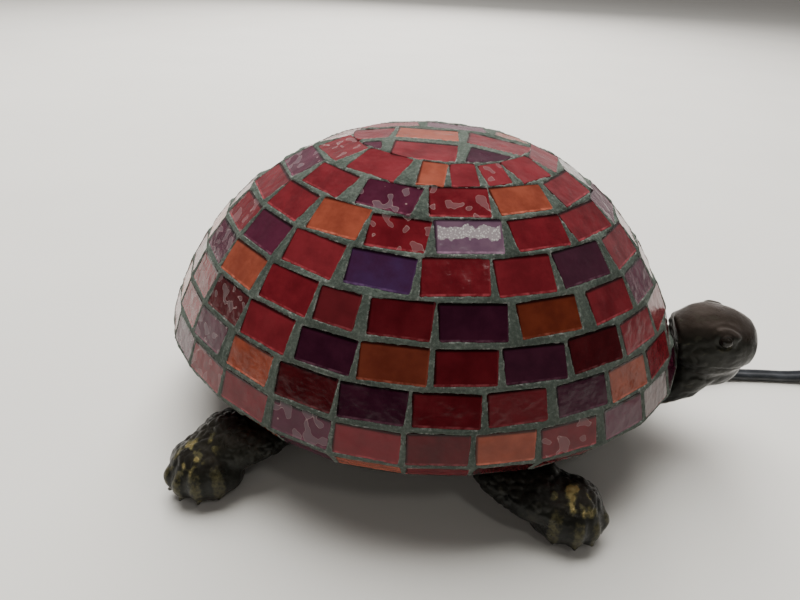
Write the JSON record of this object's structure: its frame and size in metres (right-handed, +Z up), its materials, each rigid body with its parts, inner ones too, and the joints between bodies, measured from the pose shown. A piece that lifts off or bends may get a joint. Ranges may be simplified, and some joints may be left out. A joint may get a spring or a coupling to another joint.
{
  "type": "tortoise table lamp",
  "caption": "Tortoise-shaped accent lamp: a mosaic glass shell as the shade on a cast bronze-coloured base, with a bulb inside and a black supply cord.",
  "frame": {"origin": "on the table, under the centre of the lamp without its cord", "axes": "+X towards the tortoise's head, +Y to its left, +Z up"},
  "size_m": [0.3949, 0.1966, 0.0978],
  "materials": {
    "bronze": "dark bronze paint over a zinc casting, gold rubbed on the high spots",
    "red_glass": "flat coloured glass tiles, glossy",
    "grout": "grey-green grout, sandy matt",
    "liner": "translucent resin bowl",
    "eye": "glossy black paint",
    "steel": "zinc-plated",
    "brass": "bright stamped brass",
    "phenolic": "moulded dark brown, satin",
    "clear_glass": "clear bulb glass",
    "tungsten": "thin coiled wire",
    "black_pvc": "soft black plastic, satin",
    "felt": "felt"
  },
  "bodies": {
    "base": {"base_pan": "bronze", "bracket_nut": "steel", "bracket_screw": "steel", "centre_contact": "brass", "cord_bushing": "black_pvc", "cord_coil": "black_pvc", "cord_to_coil": "black_pvc", "cord_to_plug": "black_pvc", "cord_to_switch": "black_pvc", "eye_left": "eye", "eye_right": "eye", "foot_pad_front_left": "felt", "foot_pad_front_right": "felt", "foot_pad_rear_left": "felt", "foot_pad_rear_right": "felt", "head_and_neck": "bronze", "holder_bracket": "steel", "holder_locknut": "steel", "lamp_holder": "phenolic", "leg_front_left": "bronze", "leg_front_right": "bronze", "leg_rear_left": "bronze", "leg_rear_right": "bronze", "plug_blade_1": "brass", "plug_blade_2": "brass", "plug_body": "black_pvc", "screw_leg_front_left": "steel", "screw_leg_front_right": "steel", "screw_leg_rear_left": "steel", "screw_leg_rear_right": "steel", "screw_neck": "steel", "screw_shell": "brass", "strain_relief": "black_pvc", "supply_lead": "black_pvc", "switch_lower": "black_pvc", "switch_upper": "black_pvc", "tail": "bronze"},
    "shell": {"crown_tiles": "red_glass", "grout_ring_1": "grout", "grout_ring_2": "grout", "grout_ring_3": "grout", "grout_ring_4": "grout", "grout_ring_5": "grout", "grout_ring_6": "grout", "grout_ring_7": "grout", "shade_liner": "liner", "tile_course_0": "red_glass", "tile_course_1": "red_glass", "tile_course_2": "red_glass", "tile_course_3": "red_glass", "tile_course_4": "red_glass", "tile_course_5": "red_glass", "tile_course_6": "red_glass", "tile_course_7": "red_glass"},
    "bulb": {"bulb_glass": "clear_glass", "bulb_cap": "brass", "bulb_stem": "clear_glass", "filament": "tungsten"},
    "rocker": {"switch_rocker": "phenolic"}
  },
  "joints": [
    {"name": "shade_lift", "type": "slide", "parent": "base", "child": "shell", "axis": [-0.2873, 0, 0.9578], "range_m": [0, 0.094]},
    {"name": "bulb_unscrew", "type": "slide", "parent": "base", "child": "bulb", "axis": [1, 0, 0], "range_m": [0, 0.022]},
    {"name": "rocker_tilt", "type": "hinge", "parent": "base", "child": "rocker", "pos_m": [0.175, 0.042, 0.0104], "axis": [0, 1, 0], "range_deg": [0, 16]}
  ]
}
